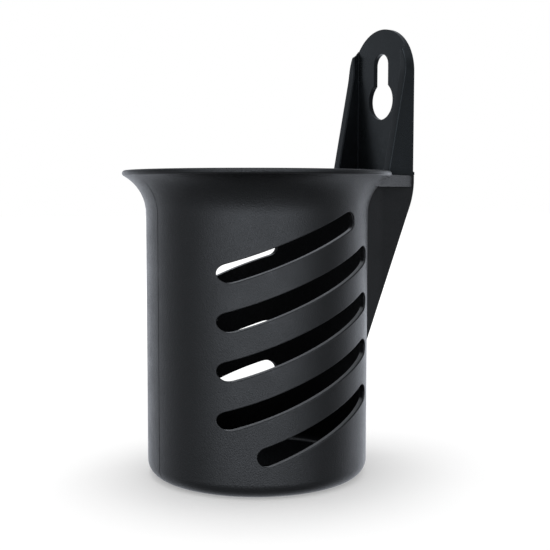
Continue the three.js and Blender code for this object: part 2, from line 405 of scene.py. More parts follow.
def skin_patch(shell, skin, loops, angles):
    """The straight part of a skin as triangles that meet the slots' rounded edges."""
    u = angles * skin.flat_r
    rows = round((PATCH_TOP_Z - skin.bottom_z) / PATCH_ROW_STEP)
    v = np.linspace(skin.bottom_z, PATCH_TOP_Z, rows + 1)
    inner_u, inner_v = np.meshgrid(u[1:-1], v[1:-1])
    free = np.stack([inner_u.ravel(), inner_v.ravel()], -1)
    for loop in loops:
        gap = np.linalg.norm(free[:, None] - loop[None], axis=-1).min(-1)
        free = free[(gap > PATCH_CLEARANCE) & ~inside(free, loop)]
    frame = [(x, v[0]) for x in u] + [(u[-1], y) for y in v[1:]]
    frame += [(x, v[-1]) for x in u[-2::-1]] + [(u[0], y) for y in v[-2:0:-1]]
    points = list(frame)
    edges = [(i, (i + 1) % len(frame)) for i in range(len(frame))]
    for loop in loops:
        start = len(points)
        points += [tuple(p) for p in loop]
        edges += [(start + i, start + (i + 1) % len(loop)) for i in range(len(loop))]
    points += [tuple(p) for p in free]
    flat, _, faces, _, _, _ = delaunay_2d_cdt([Vector(p) for p in points], edges, [], 0, PATCH_EPSILON)
    flat = np.array([tuple(p) for p in flat])
    centres = np.array([flat[list(face)].mean(0) for face in faces])
    keep = np.ones(len(faces), bool)
    for loop in loops:
        keep &= ~inside(centres, loop)
    placed, normals = skin.place(flat)
    start = shell.add(placed, normals)
    shell.faces += [tuple(start + i for i in face) for face, k in zip(faces, keep) if k]


def profile_rows(shell, profile, angles, grooved):
    """Rows of quads for a profile given as (radius, z, radial normal, z normal)."""
    r, z, level, up = [np.array(c)[:, None] for c in zip(*profile)]
    phi = angles[None, :]
    groove = parting_groove(phi, z) * (r > BODY_R / 2) if grooved else 0 * phi
    points = skin_point(phi, np.maximum(r - groove, 0), z)
    normals = np.stack([level * np.cos(phi), level * np.sin(phi), up + 0 * phi], -1)
    shell.grid(points, normals)


def arc_profile(centre_r, centre_z, radius, start, end, steps, sign=1):
    """An arc in (radius, z), with normals pointing away from its centre times sign."""
    angle = np.linspace(start, end, steps + 1)
    c, s = np.cos(angle), np.sin(angle)
    return list(zip(centre_r + radius * c, centre_z + radius * s, sign * c, sign * s))


def web_fillet(shell, plane_x, side, full_r):
    """The rounded corner between one face of a web and the cup. It is the path of a ball
    that touches both, and it narrows where the web runs out at its foot."""
    wall_y = math.sqrt(BODY_R**2 - plane_x**2)
    foot_z = WEB_KNEE_Z - (SHELF_REAR_Y - wall_y) / WEB_SLOPE + FILLET_RAISE
    foot_rows, straight_rows, flare_rows = FILLET_ROWS
    foot = np.linspace(foot_z, foot_z + FILLET_FOOT, foot_rows)
    straight = np.linspace(FILLET_MIDDLE_Z, FLARE_Z, straight_rows)
    heights = np.concatenate([foot, straight, np.full(flare_rows, FLARE_Z)])
    flare_leans = np.linspace(0, FILLET_END, flare_rows + 1)[1:]
    leans = np.concatenate([np.zeros(foot_rows + straight_rows), flare_leans])
    grown = (heights - foot_z) / FILLET_GROWTH + FILLET_LEAST
    ball = full_r * np.clip(grown, 0, 1)
    reach = FLARE_R - ball
    centre_r = FLARE_CENTRE_R - reach * np.cos(leans)
    x = plane_x + side * ball
    y = np.sqrt(centre_r**2 - x**2)
    centre = np.stack([x, y, heights + reach * np.sin(leans)], -1)
    level = np.cos(leans) / centre_r
    on_skin = np.stack([level * x, level * y, -np.sin(leans)], -1)
    on_web = np.array([float(side), 0.0, 0.0])
    turn = np.arccos(on_skin @ on_web)[:, None]
    columns, normals = [], []
    for t in np.linspace(0, 1, FILLET_STEPS + 1):
        mixed = unit(np.sin((1 - t) * turn) * on_web + np.sin(t * turn) * on_skin)
        columns.append(centre - ball[:, None] * mixed)
        normals.append(mixed)
    buried = (columns[0] + columns[-1]) / 2 - unit(normals[0] + normals[-1]) * FILLET_DEPTH
    columns = [*columns, buried, columns[0]]
    normals = [*normals, -normals[0], normals[0]]
    start = shell.grid(np.stack(columns, 1), np.stack(normals, 1))
    ring = len(columns)
    last = start + (len(heights) - 1) * ring
    shell.faces.append(tuple(range(start, start + ring - 1)))
    shell.faces.append(tuple(range(last, last + ring - 1)))


def fine_cup():
    shell = Shell()
    angles = column_angles()
    loops = {OUTER: [], INNER: []}
    for index in range(SLOT_COUNT):
        outline, away = slot_outline(index)
        ends = []
        for skin in (OUTER, INNER):
            loop, rows, normals = rounded_edge(skin, outline, away)
            loops[skin].append(loop)
            rows, normals = (np.concatenate([a, a[:, :1]], 1) for a in (rows, normals))
            shell.grid(rows, normals)
            ends.append((rows[-1], normals[-1]))
        t = np.linspace(0, 1, WALL_STEPS + 1)[:, None, None]
        shell.grid(ends[0][0] * (1 - t) + ends[1][0] * t, ends[0][1])
    for skin in (OUTER, INNER):
        skin_patch(shell, skin, loops[skin], angles)

    corner_r = BODY_R - BASE_CORNER_R
    flat_rings = [(r, 0.0, 0.0, -1.0) for r in np.linspace(0, corner_r, FLAT_RINGS)]
    corner = arc_profile(corner_r, BASE_CORNER_R, BASE_CORNER_R, -math.pi / 2, 0, CORNER_STEPS)
    for profile in (flat_rings, corner):
        profile_rows(shell, profile, angles, True)
    flare_end = math.pi - FLARE_ANGLE
    for arc_r, sign in ((FLARE_R, -1), (INNER_FLARE_R, 1)):
        start = math.pi - math.asin((PATCH_TOP_Z - FLARE_Z) / arc_r)
        arc = arc_profile(FLARE_CENTRE_R, FLARE_Z, arc_r, start, flare_end, FLARE_STEPS, sign)
        profile_rows(shell, arc, angles, sign < 0)
    lip = arc_profile(LIP_CENTRE_R, LIP_CENTRE_Z, LIP_R, -FLARE_ANGLE, flare_end, LIP_STEPS)
    inner_corner = BASE_CORNER_R - WALL
    bend_r = INNER_R - inner_corner
    bend_z = FLOOR + inner_corner
    bend = arc_profile(bend_r, bend_z, inner_corner, 0, -math.pi / 2, BEND_STEPS, -1)
    floor_rings = [(r, FLOOR, 0.0, 1.0) for r in np.linspace(bend_r, 0, FLAT_RINGS)]
    for profile in (lip, bend, floor_rings):
        profile_rows(shell, profile, angles, False)
    web_fillet(shell, HALF_WIDTH, 1, FILLET_R)
    web_fillet(shell, HALF_WIDTH - WEB_THICKNESS, -1, INNER_FILLET_R)
    return show(shell.mesh("cup_shell"))


# -------- solids from outlines
def arc_points(centre, radius, start, end, steps):
    angle = np.linspace(start, end, steps + 1)
    return np.stack([centre[0] + radius * np.cos(angle), centre[1] + radius * np.sin(angle)], -1)


def stacked(rings):
    """A closed solid through rings of as many points each, in millimetres."""
    bm = bmesh.new()
    rings = [[bm.verts.new(Vector(point) * MM) for point in ring] for ring in rings]
    bm.faces.new(rings[0])
    bm.faces.new(rings[-1])
    for low, high in zip(rings, rings[1:]):
        for i in range(len(low)):
            j = (i + 1) % len(low)
            bm.faces.new((low[i], low[j], high[j], high[i]))
    return show_solid(bm, "stacked")


def prism(outline, low, high, place):
    """A solid on an outline (a, b) between two depths d, put in place by (a, b, d)."""
    return stacked([[place(a, b, depth) for a, b in outline] for depth in (low, high)])


def along_x(outline, low, high):
    return prism(outline, low, high, lambda a, b, d: (d, a, b))


def along_y(outline, low, high):
    return prism(outline, low, high, lambda a, b, d: (a, d, b))


def along_z(outline, low, high):
    return prism(outline, low, high, lambda a, b, d: (a, b, d))


def rectangle(a0, a1, b0, b1):
    return [(a0, b0), (a1, b0), (a1, b1), (a0, b1)]


def pin(x, y, low, high, radius):
    return along_z(arc_points((x, y), radius, 0, 2 * math.pi, PIN_COLUMNS)[:-1], low, high)


def turned(profile, columns):
    """A closed solid of revolution from (radius, z) points that start and end on the axis."""
    bm = bmesh.new()
    rings = []
    for r, z in profile:
        if r < 1e-9:
            rings.append([bm.verts.new((0, 0, z * MM))])
            continue
        angle = np.linspace(0, 2 * math.pi, columns + 1)[:-1]
        rings.append([bm.verts.new((r * math.cos(t) * MM, r * math.sin(t) * MM, z * MM)) for t in angle])
    for low, high in zip(rings, rings[1:]):
        for j in range(columns):
            k = (j + 1) % columns
            corners = [low[j % len(low)], low[k % len(low)], high[k % len(high)], high[j % len(high)]]
            bm.faces.new(list(dict.fromkeys(corners)))
    return show_solid(bm, "turned")


def combine(base, others, operation):
    """Applies one exact boolean for each other solid, then removes that solid."""
    for other in others:
        modifier = base.modifiers.new("combine", "BOOLEAN")
        modifier.operation = operation
        modifier.solver = "EXACT"
        modifier.object = other
        bake_modifiers(base)
        bpy.data.objects.remove(other)
    return base


def bake_modifiers(obj):
    graph = bpy.context.evaluated_depsgraph_get()
    mesh = bpy.data.meshes.new_from_object(obj.evaluated_get(graph), depsgraph=graph)
    obj.modifiers.clear()
    old = obj.data
    obj.data = mesh
    bpy.data.meshes.remove(old)


def shade_smooth(obj):
    for polygon in obj.data.polygons:
        polygon.use_smooth = True


def clean(obj):
    """Joins coplanar faces and drops points that lie along a straight edge."""
    bm = bmesh.new()
    bm.from_mesh(obj.data)
    bmesh.ops.remove_doubles(bm, verts=bm.verts, dist=CLEAN_WELD)
    bmesh.ops.dissolve_limit(bm, angle_limit=COPLANAR, verts=bm.verts, edges=bm.edges)
    bm.to_mesh(obj.data)
    bm.free()


def round_edges(obj, width, steps=3, wide=None, wide_width=None):
    """Rounds every sharp edge, and shades the rest smooth. Edges that the wide test picks
    out are rounded to the wide width instead."""
    full = wide_width or width
    bm = bmesh.new()
    bm.from_mesh(obj.data)
    weight = bm.edges.layers.float.new("bevel_weight_edge")
    for edge in bm.edges:
        if edge.calc_face_angle(0.0) > SHARP_EDGE:
            picked = wide is not None and wide(edge.verts[0].co, edge.verts[1].co)
            edge[weight] = 1.0 if picked else width / full
    bm.to_mesh(obj.data)
    bm.free()
    bevel = obj.modifiers.new("round", "BEVEL")
    bevel.width = full * MM
    bevel.segments = steps
    bevel.limit_method = "WEIGHT"
    bevel.miter_outer = "MITER_ARC"
    bevel.use_clamp_overlap = False
    weighted = obj.modifiers.new("weigh", "WEIGHTED_NORMAL")
    weighted.mode = "FACE_AREA"
    weighted.weight = 50
    shade_smooth(obj)
    bake_modifiers(obj)


# -------- shelf, webs and bosses
def rear_outline():
    lean = math.atan(WEB_SLOPE)
    tangent = WEB_KNEE_R * math.tan(lean / 2)
    foot_y = SHELF_REAR_Y - WEB_SLOPE * (WEB_KNEE_Z - WEB_FOOT_Z)
    knee_centre = (SHELF_REAR_Y - WEB_KNEE_R, WEB_KNEE_Z + tangent)
    knee = arc_points(knee_centre, WEB_KNEE_R, -lean, 0, WEB_KNEE_STEPS)
    foot = [(ROOT_Y, WEB_FOOT_Z), (foot_y, WEB_FOOT_Z)]
    return [*foot, *knee, (SHELF_REAR_Y, SHELF_TOP_Z), (ROOT_Y, SHELF_TOP_Z)]


def shelf_outline():
    root_x = HALF_WIDTH + SHELF_TAPER * (SHELF_TAPER_END_Y - ROOT_Y)
    half = [(root_x, ROOT_Y), (HALF_WIDTH, SHELF_TAPER_END_Y), (HALF_WIDTH, SHELF_REAR_Y)]
    return [*half, *[(-x, y) for x, y in half[::-1]]]


def wall_core():
    """A solid up to the middle of the cup's wall, which trims the roots of the rear parts."""
    centre = (FLARE_CENTRE_R, FLARE_Z)
    middle = arc_points(centre, FLARE_R + LIP_R, math.pi, math.pi - FLARE_ANGLE, FLARE_STEPS)
    top = SHELF_TOP_Z + 2 * OVERRUN
    profile = [(0, 0), (BODY_R - LIP_R, 0), *middle, (middle[-1][0], top), (0, top)]
    return turned(profile, CORE_COLUMNS)


def shelf_and_webs():
    """Cut from one block, so that no two faces lie in the same place."""
    body = along_z(shelf_outline(), WEB_FOOT_Z, SHELF_TOP_Z)
    trim = along_x(rear_outline(), -BODY_R, BODY_R)
    combine(body, [trim], "INTERSECT")
    inner_x = HALF_WIDTH - WEB_THICKNESS
    far_x = 2 * BODY_R
    beside = []
    for low, high in ((-far_x, -HALF_WIDTH), (-inner_x, inner_x), (HALF_WIDTH, far_x)):
        beside.append(along_z(rectangle(low, high, 0, far_x), WEB_FOOT_Z - OVERLAP, SHELF_BOTTOM_Z))
    combine(body, beside, "DIFFERENCE")
    top = SHELF_TOP_Z + OVERRUN
    bosses, bores = [], []
    for x in (-SCREW_X, SCREW_X):
        bosses.append(pin(x, SCREW_Y, BOSS_BOTTOM_Z, SHELF_BOTTOM_Z + OVERLAP, BOSS_R))
        bores.append(pin(x, SCREW_Y, BOSS_BOTTOM_Z - OVERRUN, top, BORE_R))
    combine(body, bosses, "UNION")
    pocket_x = LUG_HALF_WIDTH + LUG_GAP
    pocket = rectangle(-pocket_x, pocket_x, LUG_FRONT_Y - LUG_GAP, LUG_REAR_Y + LUG_GAP)
    pocket = along_z(pocket, SHELF_BOTTOM_Z - OVERRUN, top)
    combine(body, [wall_core(), pocket, *bores], "DIFFERENCE")
    clean(body)
    round_edges(body, EDGE_ROUND)
    body.name = "shelf_and_webs"
    return body


# -------- hanger
def keyhole_outline():
    half = math.asin(STUD_SLOT_R / KEYHOLE_R)
    start = math.pi / 2 + half
    end = math.pi / 2 - half + 2 * math.pi
    hole = arc_points((0, KEYHOLE_Z), KEYHOLE_R, start, end, KEYHOLE_STEPS)
    slot = arc_points((0, STUD_SLOT_Z), STUD_SLOT_R, 0, math.pi, KEYHOLE_STEPS // 2)
    return [*hole, *slot]


def arch_outline(end_step):
    """The right-hand side of the plate's outline, from the shelf up into the arch."""
    end = end_step * math.pi / ARCH_STEPS
    arch = arc_points((0, ARCH_SPRING_Z), HANGER_HALF_WIDTH, 0, end, end_step)
    return [(HANGER_HALF_WIDTH, SHELF_TOP_Z), *arch]


def plate_outline():
    return [(-HANGER_HALF_WIDTH, SHELF_TOP_Z), *arch_outline(ARCH_STEPS)]


def flange_outline():
    lean_end_y = FLANGE_FRONT_Y + FLANGE_LEAN * (FLANGE_LEAN_END_Z - SHELF_TOP_Z)
    root_y = PLATE_FRONT_Y + FLANGE_ROOT
    return [
        (FLANGE_FRONT_Y, SHELF_TOP_Z),
        (lean_end_y, FLANGE_LEAN_END_Z),
        *FLANGE_TOP,
        (PLATE_FRONT_Y, FLANGE_END_Z),
        (root_y, FLANGE_END_Z),
        (root_y, SHELF_TOP_Z),
    ]


def flange(side):
    """One side wall: it leans back as it rises, and its outer face follows the arch."""
    outline = arch_outline(FLANGE_ARCH_STEPS)
    outline.append((outline[-1][0], SHELF_TOP_Z))
    ahead_y = FLANGE_FRONT_Y - OVERRUN
    wall = along_y([(side * x, z) for x, z in outline], ahead_y, PLATE_FRONT_Y + 2 * OVERLAP)
    return combine(wall, [along_x(flange_outline(), -BODY_R, BODY_R)], "INTERSECT")


def on_flange_front(start, end):
    """Whether an edge runs up the front of a flange."""
    rises = abs(end.z - start.z) > abs(end.x - start.x)
    ahead = max(start.y, end.y) < (PLATE_FRONT_Y - 1) * MM
    outside = min(abs(start.x), abs(end.x)) > (HALF_WIDTH - 2 * WEB_THICKNESS) * MM
    return rises and ahead and outside and min(start.z, end.z) > (SHELF_TOP_Z - 0.5) * MM


def fine_hanger():
    inside_x = HALF_WIDTH - WEB_THICKNESS / 2
    middle_y = (PLATE_FRONT_Y + PLATE_REAR_Y) / 2
    lug = rectangle(-LUG_HALF_WIDTH, LUG_HALF_WIDTH, LUG_FRONT_Y, LUG_REAR_Y)
    foot = rectangle(-inside_x, inside_x, FOOT_FRONT_Y, middle_y)
    toe = rectangle(-HANGER_HALF_WIDTH, HANGER_HALF_WIDTH, middle_y, SHELF_REAR_Y)
    hanger = along_y(plate_outline(), PLATE_FRONT_Y, PLATE_REAR_Y)
    added = [
        along_z(foot, SHELF_TOP_Z, FOOT_TOP_Z),
        along_z(toe, SHELF_TOP_Z, TOE_TOP_Z),
        along_z(lug, LUG_BOTTOM_Z, FOOT_TOP_Z - OVERLAP),
        flange(-1),
        flange(1),
    ]
    combine(hanger, added, "UNION")
    cuts = [along_y(keyhole_outline(), PLATE_FRONT_Y - OVERRUN, PLATE_REAR_Y + OVERRUN)]
    seat_z = SCREW_TOP_Z - HEAD_EDGE
    cone_r = BORE_R / 2
    cone_z = seat_z - SINK_R + cone_r
    top = FOOT_TOP_Z + OVERRUN
    for x in (-SCREW_X, SCREW_X):
        cuts.append(pin(x, SCREW_Y, SHELF_TOP_Z - OVERRUN, top, BORE_R))
        seat = [(0, cone_z), (cone_r, cone_z), (SINK_R, seat_z), (SINK_R, top), (0, top)]
        sink = turned(seat, PIN_COLUMNS)
        sink.location = Vector((x, SCREW_Y, 0)) * MM
        bpy.context.view_layer.update()
        cuts.append(sink)
    combine(hanger, cuts, "DIFFERENCE")
    clean(hanger)
    round_edges(hanger, HANGER_ROUND, wide=on_flange_front, wide_width=FLANGE_ROUND)
    hanger.name = "hanger_plate_fine"
    return hanger


# -------- screws
def thread_solid():
    """The shank from the head's cone to the tip, with a helical thread."""
    top = SCREW_TOP_Z - HEAD_EDGE - (HEAD_R - SCREW_R) + THREAD_TUCK
    z = np.linspace(SCREW_TIP_Z, top, THREAD_ROWS)
    angle = np.linspace(0, 2 * math.pi, THREAD_COLUMNS + 1)[:-1]
    phase = (z[:, None] / SCREW_PITCH - angle[None] / (2 * math.pi)) % 1
    crest = 1 - 2 * np.abs(phase - 0.5)
    taper = np.clip((z - SCREW_TIP_Z) / SCREW_TIP_LENGTH, 0, 1)[:, None]
    r = SCREW_CORE_R + (SCREW_R - SCREW_CORE_R) * taper + THREAD_DEPTH * (2 * crest - 1) * taper
    thread = stacked(np.stack([r * np.cos(angle), r * np.sin(angle), z[:, None] + 0 * r], -1))
    shade_smooth(thread)
    return thread


def fine_screw(name, x, turn):
    seat_z = SCREW_TOP_Z - HEAD_EDGE
    cone_z = seat_z - (HEAD_R - SCREW_R)
    cone = [(0, cone_z), (SCREW_R, cone_z), (HEAD_R, seat_z)]
    head = turned([*cone, (HEAD_R, SCREW_TOP_Z), (0, SCREW_TOP_Z)], HEAD_COLUMNS)
    across = CROSS_SPAN / 2
    half = CROSS_WIDTH / 2
    cuts = []
    for x_half, y_half in ((across, half), (half, across)):
        bar = rectangle(-x_half, x_half, -y_half, y_half)
        cuts.append(along_z(bar, SCREW_TOP_Z - CROSS_DEPTH, SCREW_TOP_Z + OVERLAP))
    combine(head, cuts, "DIFFERENCE")
    clean(head)
    round_edges(head, HEAD_ROUND, 2)
    screw = join(name, [head, thread_solid()])
    shift = Matrix.Translation(Vector((x, SCREW_Y, 0)) * MM)
    screw.data.transform(shift @ Matrix.Rotation(turn, 4, "Z"))
    return screw


def join(name, objects):
    """One object from several closed meshes, each keeping its own shading."""
    with bpy.context.temp_override(active_object=objects[0], selected_editable_objects=objects):
        bpy.ops.object.join()
    objects[0].name = name
    objects[0].data.name = name
    return objects[0]


# -------- materials
class Nodes:
    """Short calls for building one node tree."""

    def __init__(self, tree):
        self.tree = tree

    def add(self, kind, **settings):
        node = self.tree.nodes.new(kind)
        for key, value in settings.items():
            setattr(node, key, value)
        return node

    def link(self, source, target):
        self.tree.links.new(source, target)

    def math(self, operation, a, b=None, clamp=False):
        node = self.add("ShaderNodeMath", operation=operation, use_clamp=clamp)
        for socket, value in zip(node.inputs, (a, b)):
            if isinstance(value, (int, float)):
                socket.default_value = value
            elif value is not None:
                self.link(value, socket)
        return node.outputs[0]

    def times(self, a, b, clamp=False):
        return self.math("MULTIPLY", a, b, clamp)

    def noise(self, vector, scale, detail, rough):
        node = self.add("ShaderNodeTexNoise")
        node.inputs["Scale"].default_value = scale
        node.inputs["Detail"].default_value = detail
        node.inputs["Roughness"].default_value = rough
        self.link(vector, node.inputs["Vector"])
        return node.outputs["Fac"]

    def flatten(self, vector):
        node = self.add("ShaderNodeVectorMath", operation="MULTIPLY")
        node.inputs[1].default_value = (1.0, 1.0, 0.0)
        self.link(vector, node.inputs[0])
        return node.outputs[0]

    def length(self, vector):
        node = self.add("ShaderNodeVectorMath", operation="LENGTH")
        self.link(vector, node.inputs[0])
        return node.outputs["Value"]

    def part(self, vector, axis):
        node = self.add("ShaderNodeSeparateXYZ")
        self.link(vector, node.inputs[0])
        return node.outputs[axis]

    def spread(self, value, low, high, out_low=0.0, out_high=1.0):
        node = self.add("ShaderNodeMapRange")
        keys = ("From Min", "From Max", "To Min", "To Max")
        for key, number in zip(keys, (low, high, out_low, out_high)):
            node.inputs[key].default_value = number
        self.link(value, node.inputs["Value"])
        return node.outputs["Result"]

    def spread_mm(self, value, span, out_low=0.0, out_high=1.0):
        return self.spread(value, span[0] * MM, span[1] * MM, out_low, out_high)

    def blend(self, factor, first, second):
        node = self.add("ShaderNodeMix", data_type="RGBA")
        self.link(factor, node.inputs["Factor"])
        for key, colour in (("A", first), ("B", second)):
            socket = next(i for i in node.inputs if i.name == key and i.type == "RGBA")
            if isinstance(colour, tuple):
                socket.default_value = (*colour, 1.0)
            else:
                self.link(colour, socket)
        return next(o for o in node.outputs if o.type == "RGBA")

    def bump(self, height, strength, distance, normal=None):
        node = self.add("ShaderNodeBump")
        node.inputs["Strength"].default_value = strength
        node.inputs["Distance"].default_value = distance
        self.link(height, node.inputs["Height"])
        if normal is not None:
            self.link(normal, node.inputs["Normal"])
        return node.outputs["Normal"]

    def background(self, colour, strength=1.0):
        node = self.add("ShaderNodeBackground")
        node.inputs["Color"].default_value = (*colour, 1.0)
        if isinstance(strength, float):
            node.inputs["Strength"].default_value = strength
        else:
            self.link(strength, node.inputs["Strength"])
        return node.outputs[0]

    def choose(self, factor, first, second):
        """The first shader where the factor is 0, the second where it is 1."""
        node = self.add("ShaderNodeMixShader")
        for socket, source in zip(node.inputs, (factor, first, second)):
            self.link(source, socket)
        return node.outputs[0]


def node_tree(owner):
    """Turns on an owner's nodes and empties them."""
    owner.use_nodes = True
    owner.node_tree.nodes.clear()
    return Nodes(owner.node_tree)


# Each pair says where a change starts and where it is full. Lengths are in mm.
# The moulding's core side is duller, by its depth under the outer skin
CORE_SIDE_DEPTH = (0.6, 1.0)
# The slots' lower walls stay glossy, by how far they face up and by their radius
LEDGE_FACING = (0.6, 0.85)
LEDGE_LEAST_R = (38.0, 39.0)
# They also get a pale base colour, a painted highlight for their bright line, by depth under the skin
LEDGE_HIGHLIGHT_COLOUR = (0.105, 0.110, 0.118)
LEDGE_HIGHLIGHT_DEPTH = (0.35, 0.7)
# The hanger's faces that look inwards are duller above the rim. How far they look inwards
# is their place off the middle plane, in metres, times their normal
RECESS_FACING = (-0.006, -0.002)
RECESS_Z = (115.5, 117.0)
RECESS_SHARE = 0.7
# So are the webs behind the cup
REAR_Y = (44.0, 47.0)
REAR_SHARE = 0.25
# So are the shelf's own side faces, from its foot until its top
BAND_FACING = (0.8, 0.86)
BAND_FOOT_Z = (109.0, 109.3)
BAND_TOP_Z = (113.8, 114.1)
BAND_SHARE = 0.48
# How glossy the skin and the core side are, and how much rougher the core side is
GLOSS = (0.5, 0.07)
DULL_ROUGHER = 0.2
# Noises: cycles a metre, detail, roughness
FLOW = (38.0, 4.0, 0.55)
SMUDGE = (95.0, 3.0, 0.6)
SPECK = (1900.0, 2.0, 0.6)
FINE = (4200.0, 1.0, 0.5)
TURNING = (3000.0, 3.0, 0.6)
PLATING = (500.0, 3.0, 0.6)
FLOOR_NOISE = (6.0, 2.0, 0.5)
# The part of a noise's range that is put to use
NOISE_SPAN = (0.3, 0.7)
NOISE_CORE = (0.35, 0.65)
# Worn edges: how sharp they are, and how pale and smooth they get
WORN_PLASTIC = (0.53, 0.62)
WORN_STEEL = (0.52, 0.6)
WORN_PALER = 4
WORN_SHARE = 0.5
WORN_SMOOTHER = 0.08
# How much smudges and specks change the roughness
SMUDGE_ROUGH = 0.035
SPECK_ROUGH = 0.05
# Bumps: distances in metres, and strengths
WAVE_HEIGHT = 0.0006
WAVE_STRENGTH = 0.25
GRAIN_HEIGHT = 0.00006
TURNING_HEIGHT = 0.00003
TURNING_STRENGTH = 0.3


def new_material(name):
    material = bpy.data.materials.new(name)
    nodes = node_tree(material)
    surface = nodes.add("ShaderNodeBsdfPrincipled")
    output = nodes.add("ShaderNodeOutputMaterial")
    nodes.link(surface.outputs[0], output.inputs["Surface"])
    place = nodes.add("ShaderNodeTexCoord").outputs["Object"]
    return material, nodes, surface, place


def depth_under_skin(nodes, reach, height):
    """How deep a place lies under the cup's outer skin, in metres."""
    beyond = nodes.math("SUBTRACT", reach, (BODY_R - BASE_CORNER_R) * MM)
    below = nodes.math("SUBTRACT", BASE_CORNER_R * MM, height)
    squares = []
    for gap in (beyond, below):
        gap = nodes.math("MAXIMUM", gap, 0.0)
        squares.append(nodes.times(gap, gap))
    return nodes.math("SUBTRACT", BASE_CORNER_R * MM, nodes.math("SQRT", nodes.math("ADD", *squares)))


def finish_shares(nodes, place):
    """How dull the moulding is, from 0 on its outer skin to 1 on its core side, and where the
    slots' lower walls get their painted highlight, a pale colour."""
    normal = nodes.add("ShaderNodeNewGeometry").outputs["Normal"]
    reach = nodes.length(nodes.flatten(place))
    height = nodes.part(place, "Z")
    depth = depth_under_skin(nodes, reach, height)
    core = nodes.spread_mm(depth, CORE_SIDE_DEPTH)
    in_wall = nodes.spread_mm(reach, LEDGE_LEAST_R)
    ledge_gloss_and_highlight = nodes.times(nodes.spread(nodes.part(normal, "Z"), *LEDGE_FACING), in_wall)
    core = nodes.math("SUBTRACT", core, ledge_gloss_and_highlight, True)
    # Painted highlight: past the rounded edge, the slots' lower walls take a pale base colour
    ledge_gloss_and_highlight = nodes.times(ledge_gloss_and_highlight, nodes.spread_mm(depth, LEDGE_HIGHLIGHT_DEPTH))
    across = nodes.times(nodes.part(place, "X"), nodes.part(normal, "X"))
    above_rim = nodes.spread_mm(height, RECESS_Z, 0.0, RECESS_SHARE)
    recess = nodes.times(nodes.spread(across, *RECESS_FACING, 1.0, 0.0), above_rim)
    below_rim = nodes.spread_mm(height, RECESS_Z, REAR_SHARE, 0.0)
    behind = nodes.spread_mm(nodes.part(place, "Y"), REAR_Y)
    webs = nodes.times(behind, below_rim)
    sideways = nodes.math("ABSOLUTE", nodes.part(normal, "X"))
    band = nodes.spread(sideways, *BAND_FACING, 0.0, BAND_SHARE)
    band = nodes.times(band, nodes.spread_mm(height, BAND_FOOT_Z))
    band = nodes.times(band, nodes.spread_mm(height, BAND_TOP_Z, 1.0, 0.0))
    dull = core
    for share in (recess, webs, band):
        dull = nodes.math("MAXIMUM", dull, share)
    return dull, ledge_gloss_and_highlight


def worn_edges(nodes, sharpness, noise, noise_span, least):
    """Where sharp edges have worn, broken up by a noise that never falls below the least."""
    edge = nodes.add("ShaderNodeNewGeometry").outputs["Pointiness"]
    sharp = nodes.spread(edge, *sharpness)
    return nodes.times(sharp, nodes.spread(noise, *noise_span, least, 1.0), True)


def moulded_plastic(name, dark, light, rough, grain, tint):
    """Near-black plastic: spark-eroded grain, faint flow marks, handled and worn edges, and a painted
    highlight of pale colour on the slots' lower walls.
    """
    material, nodes, surface, place = new_material(name)
    flow = nodes.noise(place, *FLOW)
    smudge = nodes.noise(place, *SMUDGE)
    speck = nodes.noise(place, *SPECK)
    fine = nodes.noise(place, *FINE)
    worn = worn_edges(nodes, WORN_PLASTIC, smudge, NOISE_SPAN, 0.4)
    dull, ledge_gloss_and_highlight = finish_shares(nodes, place)
    tone = nodes.blend(nodes.spread(flow, *NOISE_CORE), dark, light)
    # Painted highlight: a pale base colour on the slots' lower walls, for their bright line
    tone = nodes.blend(ledge_gloss_and_highlight, tone, LEDGE_HIGHLIGHT_COLOUR)
    pale = tuple(c * WORN_PALER for c in light)
    tone = nodes.blend(nodes.times(worn, WORN_SHARE), tone, pale)
    nodes.link(tone, surface.inputs["Base Color"])
    smudged = nodes.spread(smudge, *NOISE_SPAN, rough - SMUDGE_ROUGH, rough + SMUDGE_ROUGH)
    patchy = nodes.math("ADD", smudged, nodes.spread(speck, *NOISE_SPAN, -SPECK_ROUGH, SPECK_ROUGH))
    finish = nodes.math("SUBTRACT", patchy, nodes.times(worn, WORN_SMOOTHER))
    finish = nodes.math("ADD", finish, nodes.times(dull, DULL_ROUGHER), True)
    nodes.link(finish, surface.inputs["Roughness"])
    nodes.link(nodes.spread(dull, 0.0, 1.0, *GLOSS), surface.inputs["Specular IOR Level"])
    surface.inputs["IOR"].default_value = 1.5
    surface.inputs["Specular Tint"].default_value = (*tint, 1.0)
    texture = nodes.math("ADD", speck, nodes.times(fine, 0.5))
    waves = nodes.bump(flow, WAVE_STRENGTH, WAVE_HEIGHT)
    nodes.link(nodes.bump(texture, grain, GRAIN_HEIGHT, waves), surface.inputs["Normal"])
    return material


def plated_steel(name):
    """Black-plated steel with fine turning marks and bright worn edges."""
    material, nodes, surface, place = new_material(name)
    marks = nodes.noise(place, *TURNING)
    patches = nodes.noise(place, *PLATING)
    worn = worn_edges(nodes, WORN_STEEL, patches, NOISE_CORE, 0.2)
    plating = nodes.spread(patches, *NOISE_CORE)
    plate = nodes.blend(plating, (0.035, 0.036, 0.04), (0.06, 0.06, 0.066))
    nodes.link(nodes.blend(worn, plate, (0.32, 0.31, 0.3)), surface.inputs["Base Color"])
    surface.inputs["Metallic"].default_value = 1.0
    nodes.link(nodes.spread(marks, *NOISE_SPAN, 0.28, 0.46), surface.inputs["Roughness"])
    nodes.link(nodes.bump(marks, TURNING_STRENGTH, TURNING_HEIGHT), surface.inputs["Normal"])
    return material


# -------- stage, light, camera
CAMERA_AT = (330.41, -205.01, 106.54)
CAMERA_AZIMUTH = 58.182
CAMERA_YAW = -1.008
CAMERA_PITCH = 4.558
CAMERA_ROLL = 0.083
CAMERA_LENS = 66.69
SENSOR = 36.0
CLIP_START = 0.01

